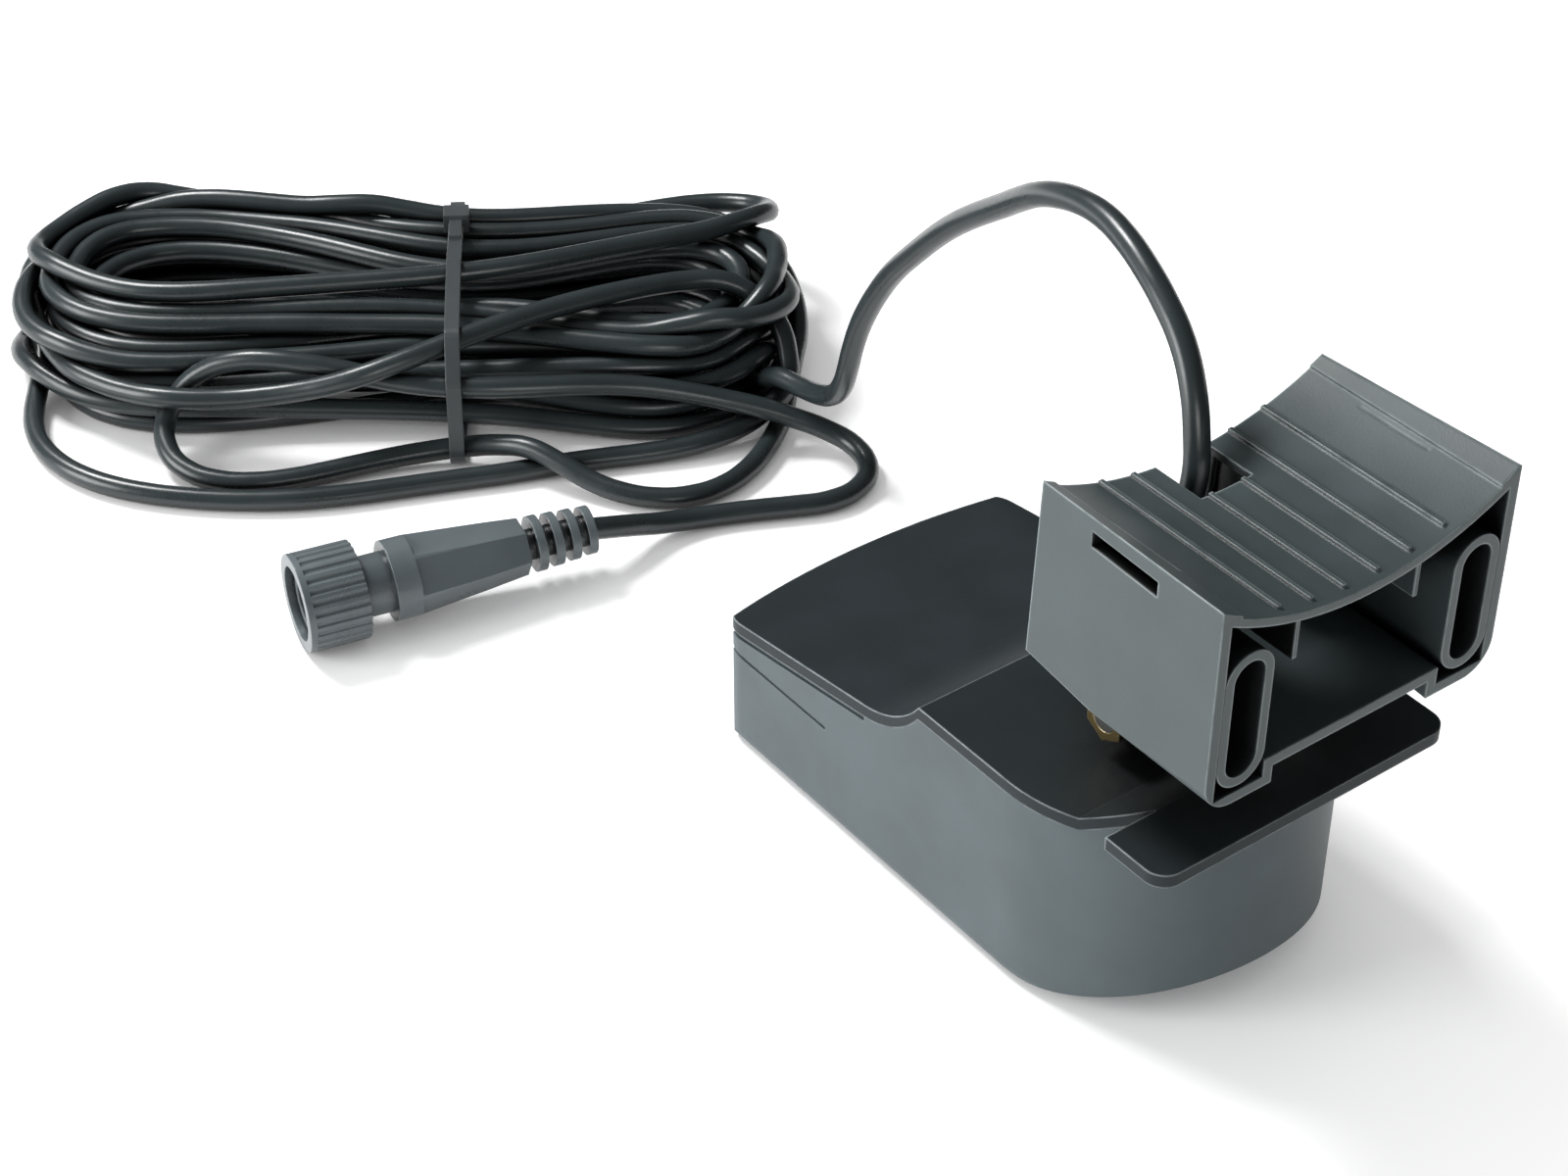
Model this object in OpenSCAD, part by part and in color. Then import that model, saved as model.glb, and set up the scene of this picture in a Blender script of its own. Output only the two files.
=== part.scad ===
// Transom-mount sonar transducer with pivoting bracket, tied cable and plug.
// Millimetres, +Z up, +X toward the transom (blunt nose), the body rests on Z = 0.

/* [Housing] */
// Half width of the housing
body_half_w = 32.5; // [24:0.5:45]
// X of the tail end of the housing
body_rear_x = -69; // [-90:1:-50]
// X of the centre of the round nose
nose_x = 13.5; // [0:0.5:25]
// Radius along the bottom edge of the housing
keel_r = 3.2; // [2.8:0.1:12]
// X where the bottom starts to sweep up to the nose
bow_start_x = 2; // [0:0.5:20]
// Radius of that sweep
bow_r = 100; // [80:1:400]
// Radius of the two upright tail corners
tail_corner_r = 7; // [2:0.5:12]
// Radius of the bowed tail end
tail_bow_r = 140; // [100:1:400]
// Wall thickness of the housing
body_wall = 2.6; // [1.6:0.1:5]
// Thickness of the sounding window in the bottom
window_t = 3; // [2:0.1:5]
// Depth of the shadow groove under the cover
seam_depth = 0.8; // [0.3:0.1:1.5]
// Height of the shadow groove under the cover
seam_h = 1.1; // [0.5:0.1:2]
// Height of the trim groove along the tail
trim_groove_z = 21; // [10:0.5:25]
// X where the trim groove ends
trim_groove_end_x = -36; // [-55:1:-20]

/* [Cover] */
// Thickness of the top cover
cover_t = 2.6; // [1.6:0.1:4]
// Height of the tail top at its rear end
tail_top_z = 28; // [20:0.5:36]
// X where the tail top meets its concave rise
tail_front_x = -24.8; // [-40:0.1:-15]
// Height of the tail top at that place
tail_front_z = 34.4; // [26:0.1:40]
// X of the rear edge of the deck
deck_rear_x = -10; // [-20:0.5:0]
// Height of the deck
deck_z = 43.6; // [36:0.1:50]
// Length of the ramp from the deck up to the front lip
ramp_l = 10; // [4:0.5:16]
// Height of the front lip
lip_z = 48.5; // [40:0.1:56]
// Length of the level part of the front lip
lip_l = 13.4; // [6:0.1:18]
// How far the straight front edge of the lip overhangs the nose
lip_overhang = 5.2; // [0:0.1:15]
// Radius of the two lip corners
lip_corner_r = 4; // [1:0.5:8]

/* [Pivot] */
// Distance of the pivot axis from the rear face of the bracket
pivot_setback = 4.7; // [3:0.1:10]
// Height of the pivot axis
pivot_z = 51.5; // [49:0.5:60]
// Radius of the round ends of lug and ears
pivot_end_r = 6.5; // [5:0.1:9]
// Half width of the lug on the deck
lug_half_w = 5.5; // [5:0.5:12]
// Thickness of each rubber washer
rubber_t = 1; // [0.5:0.1:2]
// Thickness of each bracket ear
ear_t = 3.5; // [2:0.1:6]
// Thickness of each flat washer
washer_t = 1; // [0.6:0.1:2]
// Radius of the flat washers
washer_r = 5.5; // [4.5:0.1:6.4]
// Radius of the pivot bolt
bolt_r = 2.5; // [2:0.1:3]
// Radius of the bolt head
bolt_head_r = 4.5; // [3.5:0.1:5.5]
// Height of the bolt head
bolt_head_h = 3; // [2:0.1:5]
// Width of the nut across its flats
nut_af = 8; // [7:0.1:10]
// Height of the nut
nut_h = 4.6; // [3:0.1:6]
// Radial running clearance of the bolt in the lug
bolt_play = 0.08; // [0.02:0.01:0.1]
// Side clearance between a rubber washer and an ear
ear_play = 0.1; // [0.05:0.01:0.3]

/* [Bracket] */
// How far the open face, which lies on the transom, stands ahead of the front lip
bracket_reach = 6.1; // [0:0.1:20]
// Distance from the open face to the closed rear face
bracket_depth = 44; // [36:0.5:60]
// How far each side stays inside the housing's side at the open face
bracket_side_gap = 1.1; // [0:0.1:6]
// How much each side draws in toward the rear face
bracket_draft = 1.6; // [0:0.1:4]
// How much the rear face leans forward at the top
bracket_lean = 1.8; // [0:0.1:5]
// Height of the feet at the open face
bracket_foot_z = 65.8; // [60:0.1:80]
// Rise of the underside toward the rear
bracket_rise = 4.2; // [0:0.1:8]
// Height of the two top edges
bracket_top_z = 105; // [95:0.5:120]
// Depth of the saddle in the top
saddle_depth = 8.2; // [3:0.1:14]
// Radius of the saddle
saddle_r = 61; // [45:1:90]
// Width of the raised rim along each top edge
rim_w = 4; // [2:0.1:6]
// Height of that rim over the saddle
rim_h = 0.5; // [0.2:0.1:0.8]
// Wall thickness of the bracket
bracket_wall = 2; // [1.4:0.1:4]
// Half width of the raised channel between the feet
channel_half_w = 17; // [14:0.5:24]
// Height of the raised channel over the feet
channel_h = 3.4; // [2:0.1:8]
// Radius of the two lower edges
bracket_edge_r = 6; // [1:0.5:8]
// Spacing of the ridges on the saddle
ridge_pitch = 7; // [4:0.5:10]
// Width of each ridge
ridge_w = 0.9; // [0.5:0.1:2]
// Height of each ridge
ridge_h = 0.5; // [0.2:0.1:1.5]
// Half width of the cable slot in the rear
cable_slot_half_w = 5.5; // [3.5:0.5:8]
// Length of the cable slot in the top
cable_slot_l = 12; // [8:0.5:20]
// Height of each side window
side_window_h = 2.8; // [1.5:0.1:5]
// Length of each side window
side_window_l = 15.5; // [8:0.5:25]
// Sideways place of the two stiffening ribs under the roof
roof_rib_y = 13; // [8:0.5:17]
// Drop of each stiffening rib below the roof
roof_rib_h = 9; // [4:0.5:12]

/* [Screw slots] */
// Distance of each slot's middle from the side of the bracket
slot_inset = 7.1; // [6:0.1:12]
// Height of the slot centres
slot_z = 82; // [75:0.5:90]
// Width of each screw slot
slot_w = 6.4; // [4:0.1:8]
// Length of each screw slot
slot_l = 22.4; // [10:0.1:26]
// Wall around each screw slot
slot_wall = 1.8; // [1.2:0.1:3]

/* [Sounding parts] */
// Radius of the ceramic element
element_r = 19; // [12:0.5:22]
// Height of the ceramic element
element_h = 10; // [5:0.5:14]
// X of the ceramic element
element_x = -20; // [-28:0.5:5]
// Thickness of the isolation ring
isolation_t = 3; // [1.5:0.1:5]
// Radius of the temperature sensor
sensor_r = 3; // [2:0.1:5]
// Distance of the temperature sensor from the tail end
sensor_setback = 20; // [12:0.5:30]
// Height of the temperature sensor
sensor_h = 9; // [5:0.5:15]

/* [Cable] */
// Radius of the cable
cable_r = 2.3; // [1.5:0.05:4]
// X of the cable gland on the deck
gland_x = 2; // [-6:0.5:4]
// Radius of the gland at its foot
gland_r = 5.5; // [4:0.1:8]
// Height of the gland
gland_h = 8; // [4:0.5:14]
// Length of the tied hank of cable
hank_l = 178; // [120:1:260]
// Width of the tied hank
hank_w = 70; // [40:1:110]
// Height of the tied hank
hank_h = 22; // [10:1:40]
// X of the middle of the hank
hank_x = -213.5; // [-260:0.5:-150]
// Y of the middle of the hank
hank_y = -13; // [-60:0.5:40]
// Turn of the hank about the vertical
hank_turn = 52; // [0:1:90]
// Place of the cable tie along the hank, from its middle
tie_place = 12; // [-30:1:30]
// Width of the cable tie
tie_w = 4; // [2:0.1:8]
// Thickness of the cable tie
tie_t = 1.4; // [0.8:0.1:3]

/* [Plug] */
// Radius of the coupling nut, which rests on the ground
coupling_r = 10; // [7:0.1:12]
// Length of the coupling nut
coupling_l = 12.5; // [8:0.1:18]
// Number of grip flutes on the coupling nut
coupling_flutes = 28; // [8:1:30]
// X of the middle of the plug's open end
plug_x = -138.8; // [-160:0.1:-110]
// Y of the middle of the plug's open end
plug_y = -84.2; // [-110:0.1:-60]
// Turn of the plug's axis about the vertical
plug_turn = 77; // [45:1:135]
// Radius of the plug shell inside the coupling nut
shell_r = 6.2; // [5:0.1:8]
// Radius of the flange that holds the coupling nut
flange_r = 7.3; // [6:0.1:9]
// Radial gap between plug and coupling nut
coupling_gap = 0.35; // [0.2:0.05:0.6]
// Radius of the contact insert
insert_r = 4.6; // [3.5:0.1:5.5]
// Radius of the circle of contacts
contact_circle_r = 2.7; // [1.5:0.1:3.5]
// Radius of each contact
contact_r = 0.7; // [0.4:0.05:1]
// Number of contacts
contact_count = 5; // [3:1:7]
// Radius of the plug body at its collar
plug_collar_r = 8.2; // [6:0.1:10]
// Radius of the plug body at its tail
plug_tail_r = 6; // [4:0.1:8]
// Distance from the open end to the collar
plug_collar_s = 18.5; // [13.5:0.5:24]
// Distance from the open end to the tail of the plug body
plug_tail_s = 47; // [35:0.5:60]
// Length of the ribbed strain relief
relief_l = 14.5; // [8:0.5:20]
// Number of ribs on the strain relief
relief_ribs = 4; // [3:1:8]
// Radius of the last rib of the strain relief
relief_end_r = 5; // [4:0.1:7]

/* [Hidden] */
$fn = 96;

// Room by which a cutting shape runs past what it cuts
over = 5;
// Places along X, from the tip of the nose
nose_tip_x = nose_x + body_half_w;
sensor_x = body_rear_x + sensor_setback;
lip_front_x = nose_tip_x + lip_overhang;
lip_x = lip_front_x - lip_l;
ramp_x = lip_x - ramp_l;
bracket_front_x = lip_front_x + bracket_reach;
bracket_rear_x = bracket_front_x - bracket_depth;
pivot_x = bracket_rear_x + pivot_setback;
// Half widths of the bracket, from that of the housing
bracket_front_half_w = body_half_w - bracket_side_gap;
bracket_rear_half_w = bracket_front_half_w - bracket_draft;
// Height that is above every piece of the body
body_top = lip_z + over;

// Concave rise from the tail top to the deck: tangent to the tail, through the deck's rear edge
tail_slope = atan2(tail_front_z - tail_top_z, tail_front_x - body_rear_x);
rise_dx = deck_rear_x - tail_front_x;
rise_dz = deck_z - tail_front_z;
rise_fall = rise_dz * cos(tail_slope) - rise_dx * sin(tail_slope);
rise_r = (rise_dx * rise_dx + rise_dz * rise_dz) / (2 * rise_fall);
rise_x = tail_front_x - rise_r * sin(tail_slope);
rise_z = tail_front_z + rise_r * cos(tail_slope);

// Faces that mating pieces share
lip_under_z = lip_z - cover_t;
ear_in = lug_half_w + rubber_t + ear_play;
ear_out = ear_in + ear_t;
washer_out = ear_out + washer_t;
saddle_z = bracket_top_z - saddle_depth + saddle_r;
saddle_floor_r = saddle_r + rim_h;
slot_y = bracket_front_half_w - slot_inset;
tube_w = slot_w + 2 * slot_wall;
tube_l = slot_l + 2 * slot_wall;
ear_top_z = bracket_top_z - saddle_depth - bracket_wall / 2;
ear_front_x = pivot_x + pivot_end_r;
floor_rear_z = bracket_foot_z + bracket_rise;
bracket_grade = bracket_rise / (bracket_front_x - bracket_rear_x);
side_window_x = bracket_rear_x + cable_slot_l + bracket_wall;
side_window_z = ear_top_z + over - side_window_h / 2;
ridge_count = 6;
roof_rib_z = saddle_z - sqrt(pow(saddle_r + bracket_wall, 2) - pow(roof_rib_y, 2)) - roof_rib_h;
isolation_r = element_r + isolation_t;
element_top = window_t + element_h;
plug_z = coupling_r;
coupling_in_r = flange_r + coupling_gap;
neck_r = shell_r;
coupling_lip_r = neck_r + coupling_gap;
flange_s = 9;
flange_e = 10.6;
lip_s = flange_e + coupling_gap;
insert_s = 2.4;
shell_s = 1.6;
insert_e = plug_collar_s + over;
seal_r = 0.9;
seal_s = 5.4;
seal_sink = 0.35;
relief_e = plug_tail_s + relief_l;
sleeve_wall = 0.9;
sleeve_r = cable_r + sleeve_wall;
rib_share = 0.5;
rubber_hole_r = bolt_r + 4 * bolt_play;
tie_half_w = tie_w / 2;
tie_outer_w = hank_w + 2 * tie_t;
tie_outer_h = hank_h + tie_t;
tie_head = 7;
flute_r = 0.8;
coupling_rim = 1.4;
flat_count = 6;
flat_depth = 0.9;
plug_taper = atan2(plug_collar_r - plug_tail_r, plug_tail_s - plug_collar_s - over);
groove_w = 1;
groove_d = 0.6;

// Cable route from the gland through the bracket's rear slot and over to the hank
ARCH = [[2, 0, 51.6], [2, 0, 58], [5, 0, 67], [11, 0, 77], [16, 1, 87], [16.5, 1.8, 95],
        [14.5, 2.6, 103], [8.5, 5.2, 111], [-4.5, 8.8, 117.5], [-21, 13, 119.5], [-38, 16, 114.5],
        [-54.5, 19.5, 103], [-71, 22.8, 90], [-85.5, 26.2, 76], [-97.5, 29.2, 63],
        [-107.5, 31.2, 48], [-113.3, 32.5, 35], [-118, 34.2, 25], [-125, 37, 17],
        [-136, 38, 13], [-148, 39, 10.5], [-160, 40, 9]];
// Cable route from the strain relief around the end of the hank
TAIL = [[-125, -24.3, 10], [-125, -15.5, 7], [-125, -6, 3.6], [-124, 3, 2.4], [-121, 12, 2.4],
        [-117, 21, 2.4], [-115, 30, 2.4], [-116, 37, 2.4], [-120.5, 41.5, 2.5], [-127, 41, 3.5],
        [-134, 36, 6], [-143, 27, 9.5], [-152, 18, 12]];
cable_sides = 10;

// Plan outline of the housing, drawn in by an inset
module body_plan(inset) {
    r = tail_corner_r - min(inset, tail_corner_r / 2);
    w = body_half_w - inset;
    x = body_rear_x + inset;
    intersection() {
        union() {
            translate([x + r, -w]) square([lip_front_x - x, 2 * w]);
            translate([x, r - w]) square([lip_front_x - x, 2 * (w - r)]);
            for (s = [-1, 1]) translate([x + r, s * (w - r)]) circle(r);
        }
        translate([body_rear_x + tail_bow_r, 0]) circle(tail_bow_r - inset, $fn = 180);
    }
}

// Half cross section of the housing with its rounded keel edge
module keel_half(inset, base_z) {
    w = body_half_w - inset;
    r = keel_r - inset;
    translate([0, base_z]) {
        translate([0, r]) square([w, body_top - r - base_z]);
        square([w - r, body_top - base_z]);
        translate([w - r, r]) circle(r);
    }
}

// Room above the bottom, which sweeps up toward the nose
module above_bow(base_z) {
    reach = body_half_w + over;
    translate([body_rear_x - over, -reach, base_z])
        cube([bow_start_x - body_rear_x + over, 2 * reach, body_top + over - base_z]);
    translate([bow_start_x, reach, bow_r]) rotate([90, 0, 0])
        cylinder(r = bow_r - base_z, h = 2 * reach, $fn = 360);
}

// Outer or inner form of the housing, without its top
module body_form(inset, base_z) {
    intersection() {
        linear_extrude(body_top) body_plan(inset);
        above_bow(base_z);
        union() {
            translate([body_rear_x, 0, 0]) rotate([90, 0, 90]) linear_extrude(nose_x - body_rear_x) {
                keel_half(inset, base_z);
                mirror([1, 0]) keel_half(inset, base_z);
            }
            translate([nose_x, 0, 0]) rotate_extrude() intersection() {
                keel_half(inset, base_z);
                translate([0, -over]) square([body_half_w + over, body_top + 2 * over]);
            }
        }
    }
}

// Everything below the stepped top line, moved down by a drop
module below_top(drop) {
    reach = body_half_w + over;
    translate([0, reach, -drop]) rotate([90, 0, 0]) linear_extrude(2 * reach) difference() {
        polygon([[body_rear_x - over, -over],
                 [body_rear_x - over, tail_top_z - over * tan(tail_slope)],
                 [tail_front_x, tail_front_z],
                 [tail_front_x, deck_z],
                 [ramp_x, deck_z],
                 [lip_x, lip_z],
                 [lip_front_x + over, lip_z],
                 [lip_front_x + over, -over]]);
        translate([rise_x, rise_z]) circle(rise_r, $fn = 180);
    }
}

// Cylinder along Y from one Y to another on the pivot axis
module pivot_cyl(r, y0, y1) {
    translate([pivot_x, y1, pivot_z]) rotate([90, 0, 0]) cylinder(r = r, h = y1 - y0);
}

// Potted lower housing with the sounding window in its bottom
module lower_housing() {
    color([0.13, 0.14, 0.15]) difference() {
        intersection() {
            body_form(0, 0);
            below_top(cover_t);
        }
        body_form(body_wall, window_t);
        // shadow groove under the cover, as far as the tail reaches
        difference() {
            intersection() {
                below_top(cover_t - over);
                translate([body_rear_x - over, -body_half_w - over, 0])
                    cube([tail_front_x - body_rear_x + over, 2 * (body_half_w + over), body_top]);
            }
            below_top(cover_t + seam_h);
            body_form(seam_depth, -over);
        }
        // trim groove along the tail
        difference() {
            translate([body_rear_x - over, -body_half_w - over, trim_groove_z])
                cube([trim_groove_end_x - body_rear_x + over, 2 * (body_half_w + over), groove_w]);
            body_form(groove_d, -over);
        }
        translate([sensor_x, 0, -over]) cylinder(r = sensor_r, h = sensor_h + over);
    }
}

// Stepped top cover: tail, deck, overhanging front lip and pivot lug in one piece
module top_cover() {
    color([0.09, 0.1, 0.11]) difference() {
        union() {
            difference() {
                intersection() {
                    body_form(0, 0);
                    below_top(0);
                }
                below_top(cover_t);
            }
            translate([0, 0, lip_under_z]) linear_extrude(cover_t) front_lip();
            pivot_cyl(pivot_end_r, -lug_half_w, lug_half_w);
            translate([pivot_x - pivot_end_r, -lug_half_w, deck_z - cover_t / 2])
                cube([2 * pivot_end_r, 2 * lug_half_w, pivot_z - deck_z + cover_t / 2]);
        }
        pivot_cyl(bolt_r + bolt_play, -lug_half_w - over, lug_half_w + over);
    }
}

// Plan of the overhanging lip
module front_lip() {
    r = lip_corner_r;
    translate([lip_x, -body_half_w]) square([lip_front_x - r - lip_x, 2 * body_half_w]);
    translate([lip_x, r - body_half_w]) square([lip_front_x - lip_x, 2 * (body_half_w - r)]);
    for (s = [-1, 1]) translate([lip_front_x - r, s * (body_half_w - r)]) circle(r);
}

// Resin that fills the housing around the sounding parts
module potting() {
    color([0.07, 0.08, 0.09]) difference() {
        intersection() {
            body_form(body_wall, window_t);
            below_top(cover_t);
        }
        translate([element_x, 0, 0]) cylinder(r = isolation_r, h = element_top);
        translate([sensor_x, 0, 0]) cylinder(r = sensor_r, h = sensor_h);
    }
}

// Round ceramic that sends and hears the sound
module ceramic_element() {
    color([0.75, 0.7, 0.6]) translate([element_x, 0, window_t]) cylinder(r = element_r, h = element_h);
}

// Cork ring around the ceramic
module isolation_ring() {
    color([0.55, 0.4, 0.25]) translate([element_x, 0, window_t]) difference() {
        cylinder(r = isolation_r, h = element_h);
        translate([0, 0, -over]) cylinder(r = element_r, h = element_h + 2 * over);
    }
}

// Metal slug of the water temperature sensor, flush with the bottom
module temperature_sensor() {
    color([0.6, 0.6, 0.58]) translate([sensor_x, 0, 0]) cylinder(r = sensor_r, h = sensor_h);
}

// Rubber sleeve where the cable leaves the deck
module cable_gland() {
    color([0.06, 0.065, 0.07]) translate([gland_x, 0, deck_z]) rotate_extrude()
        polygon([[0, 0], [gland_r, 0], [gland_r, gland_h / 4], [sleeve_r, gland_h], [0, gland_h]]);
}

// Pivot bolt with a round head on the far side
module pivot_bolt() {
    color([0.72, 0.7, 0.66]) {
        pivot_cyl(bolt_r, -washer_out - nut_h, washer_out);
        pivot_cyl(bolt_head_r, washer_out, washer_out + bolt_head_h);
    }
}

// Hexagon nut on the near side
module lock_nut() {
    color([0.78, 0.66, 0.38]) difference() {
        translate([pivot_x, -washer_out, pivot_z]) rotate([90, 0, 0]) linear_extrude(nut_h)
            intersection_for(a = [0, 60, 120]) rotate(a) square([nut_af, 2 * nut_af], center = true);
        pivot_cyl(bolt_r, -washer_out - nut_h - over, -washer_out + over);
    }
}

// Flat ring on the pivot axis
module pivot_ring(r, hole, y0, y1) {
    difference() {
        pivot_cyl(r, y0, y1);
        pivot_cyl(hole, y0 - over, y1 + over);
    }
}

// Flat washer under the bolt head
module flat_washer_bolt() {
    color([0.74, 0.73, 0.7]) pivot_ring(washer_r, bolt_r, ear_out, washer_out);
}

// Flat washer under the nut
module flat_washer_nut() {
    color([0.74, 0.73, 0.7]) pivot_ring(washer_r, bolt_r, -washer_out, -ear_out);
}

// Rubber washer on the near side of the lug
module rubber_washer_near() {
    color([0.05, 0.05, 0.055])
        pivot_ring(pivot_end_r, rubber_hole_r, -lug_half_w - rubber_t, -lug_half_w);
}

// Rubber washer on the far side of the lug
module rubber_washer_far() {
    color([0.05, 0.05, 0.055])
        pivot_ring(pivot_end_r, rubber_hole_r, lug_half_w, lug_half_w + rubber_t);
}

// Prism along X of a front view drawn in Y and Z
module along_x(x0, x1) {
    translate([x0, 0, 0]) rotate([90, 0, 90]) linear_extrude(x1 - x0) children();
}

// Plan of the bracket, drawn in by an inset, running past its open face by a reach
module bracket_plan(inset, reach) {
    slope = (bracket_front_half_w - bracket_rear_half_w) / (bracket_front_x - bracket_rear_x);
    x0 = bracket_rear_x + inset;
    x1 = bracket_front_x + reach;
    w0 = bracket_rear_half_w + slope * inset - inset;
    w1 = bracket_front_half_w + slope * reach - inset;
    polygon([[x0, -w0], [x1, -w1], [x1, w1], [x0, w0]]);
}

// Front view of the bracket without its top, drawn in by an inset
module bracket_face(inset) {
    w = bracket_front_half_w - inset + over * (inset > 0 ? 1 : 0);
    r = bracket_edge_r;
    z0 = bracket_foot_z + inset;
    difference() {
        union() {
            translate([-w, z0 + r]) square([2 * w, bracket_top_z + over - z0 - r]);
            translate([r - w, z0]) square([2 * (w - r), bracket_top_z + over - z0]);
            for (s = [-1, 1]) translate([s * (w - r), z0 + r]) circle(r);
        }
        translate([-channel_half_w - inset, z0 - over])
            square([2 * (channel_half_w + inset), channel_h + over]);
        translate([0, saddle_z]) circle(saddle_r + inset, $fn = 240);
        if (inset == 0) intersection() {
            translate([0, saddle_z]) circle(saddle_floor_r, $fn = 240);
            translate([rim_w - w, saddle_z - saddle_floor_r]) square([2 * (w - rim_w), saddle_floor_r]);
        }
    }
}

// Wedge under the rising underside of the bracket, moved up by an inset
module bracket_underside(inset) {
    reach = bracket_front_half_w + over;
    translate([0, reach, inset]) rotate([90, 0, 0]) linear_extrude(2 * reach)
        polygon([[bracket_front_x, bracket_foot_z],
                 [bracket_rear_x - over, floor_rear_z + over * bracket_grade],
                 [bracket_rear_x - over, 0],
                 [bracket_front_x, 0]]);
}

// Space behind the leaning rear face of the bracket, moved forward by an inset
module bracket_behind(inset) {
    reach = bracket_front_half_w + over;
    translate([inset, reach, 0]) rotate([90, 0, 0]) linear_extrude(2 * reach)
        polygon([[bracket_rear_x, floor_rear_z],
                 [bracket_rear_x + bracket_lean, bracket_top_z],
                 [bracket_rear_x + bracket_lean, bracket_top_z + over],
                 [bracket_rear_x - over, bracket_top_z + over],
                 [bracket_rear_x - over, floor_rear_z]]);
}

// Front view of one screw tube
module obround(w, l) {
    square([w, l - w], center = true);
    for (s = [-1, 1]) translate([0, s * (l - w) / 2]) circle(w / 2);
}

// Moulded transom bracket: open shell, ribbed saddle, two screw tubes, two pivot ears
module transom_bracket() {
    color([0.12, 0.13, 0.14]) difference() {
        union() {
            difference() {
                intersection() {
                    along_x(bracket_rear_x, bracket_front_x) bracket_face(0);
                    linear_extrude(bracket_top_z + over) bracket_plan(0, 0);
                }
                bracket_underside(0);
                difference() {
                    intersection() {
                        along_x(bracket_rear_x + bracket_wall, bracket_front_x + over)
                            bracket_face(bracket_wall);
                        linear_extrude(bracket_top_z + over) bracket_plan(bracket_wall, over);
                    }
                    bracket_underside(bracket_wall);
                    bracket_behind(bracket_wall);
                }
            }
            for (s = [-1, 1]) {
                // screw tube
                along_x(bracket_rear_x, bracket_front_x)
                    translate([s * slot_y, slot_z]) obround(tube_w, tube_l);
                // pivot ear
                pivot_cyl(pivot_end_r, min(s * ear_in, s * ear_out), max(s * ear_in, s * ear_out));
                translate([bracket_rear_x, s * (ear_in + ear_t / 2) - ear_t / 2, floor_rear_z])
                    cube([ear_front_x - bracket_rear_x, ear_t, ear_top_z - floor_rear_z]);
                translate([pivot_x - pivot_end_r, s * (ear_in + ear_t / 2) - ear_t / 2, pivot_z])
                    cube([2 * pivot_end_r, ear_t, floor_rear_z + bracket_wall - pivot_z]);
            }
            // stiffening ribs under the roof
            for (s = [-1, 1]) translate([ear_front_x, s * roof_rib_y - ridge_w / 2, roof_rib_z])
                cube([bracket_front_x - bracket_wall - ear_front_x, ridge_w, roof_rib_h + bracket_wall / 2]);
            // ridges along the saddle
            for (k = [0:ridge_count - 1]) {
                y = (k - (ridge_count - 1) / 2) * ridge_pitch;
                z = saddle_z - sqrt(saddle_floor_r * saddle_floor_r - y * y);
                translate([bracket_rear_x, y - ridge_w / 2, z - ridge_h])
                    cube([bracket_front_x - bracket_rear_x - bracket_wall, ridge_w, 2 * ridge_h]);
            }
        }
        for (s = [-1, 1]) {
            // screw slot, right through
            along_x(bracket_rear_x - over, bracket_front_x + over)
                translate([s * slot_y, slot_z]) obround(slot_w, slot_l);
            // side window
            translate([side_window_x, s * bracket_front_half_w - over, side_window_z])
                cube([side_window_l, 2 * over, side_window_h]);
        }
        // cable slot in the rear and the top
        translate([bracket_rear_x - over, -cable_slot_half_w, pivot_z])
            cube([cable_slot_l + over, 2 * cable_slot_half_w, bracket_top_z - pivot_z]);
        pivot_cyl(bolt_r, -ear_out - over, ear_out + over);
        bracket_behind(0);
    }
}

// A direction of length one
function unit(v) = v / norm(v);
// Direction of a route at one of its points
function heading(p, i) = unit(p[min(i + 1, len(p) - 1)] - p[max(i - 1, 0)]);
// Sideways and upward direction across a route, which never runs along this aim
aim = [0.3, 1, 0.2];
function across(d) = unit(cross(d, aim));
// Ring of points around one point of a route
function ring(p, i, r) = let(d = heading(p, i), u = across(d), v = cross(d, u))
    [for (k = [0:cable_sides - 1]) let(a = 360 * k / cable_sides) p[i] + r * (cos(a) * u + sin(a) * v)];

// Cable swept along a route
module cable_run(p) {
    n = len(p);
    m = cable_sides;
    points = [for (i = [0:n - 1]) each ring(p, i, cable_r)];
    sides = [for (i = [0:n - 2], k = [0:m - 1])
        each [[i * m + k, i * m + (k + 1) % m, (i + 1) * m + k],
              [i * m + (k + 1) % m, (i + 1) * m + (k + 1) % m, (i + 1) * m + k]]];
    start = [[for (k = [m - 1:-1:0]) k]];
    end = [[for (k = [0:m - 1]) (n - 1) * m + k]];
    polyhedron(points, concat(sides, start, end));
}

// Cable from the gland to the hank
module cable_arch() {
    color([0.11, 0.12, 0.13]) cable_run(ARCH);
}

// Cable from the strain relief to the hank
module cable_tail() {
    color([0.11, 0.12, 0.13]) cable_run(TAIL);
}

// Plan of the hank with its two round ends
module hank_plan(l, w) {
    square([l - w, w], center = true);
    for (s = [-1, 1]) translate([s * (l - w) / 2, 0]) circle(w / 2);
}

// Tied bundle of the remaining cable
module cable_hank() {
    color([0.11, 0.12, 0.13]) translate([hank_x, hank_y, 0]) rotate(hank_turn)
        linear_extrude(hank_h) hank_plan(hank_l, hank_w);
}

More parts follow.
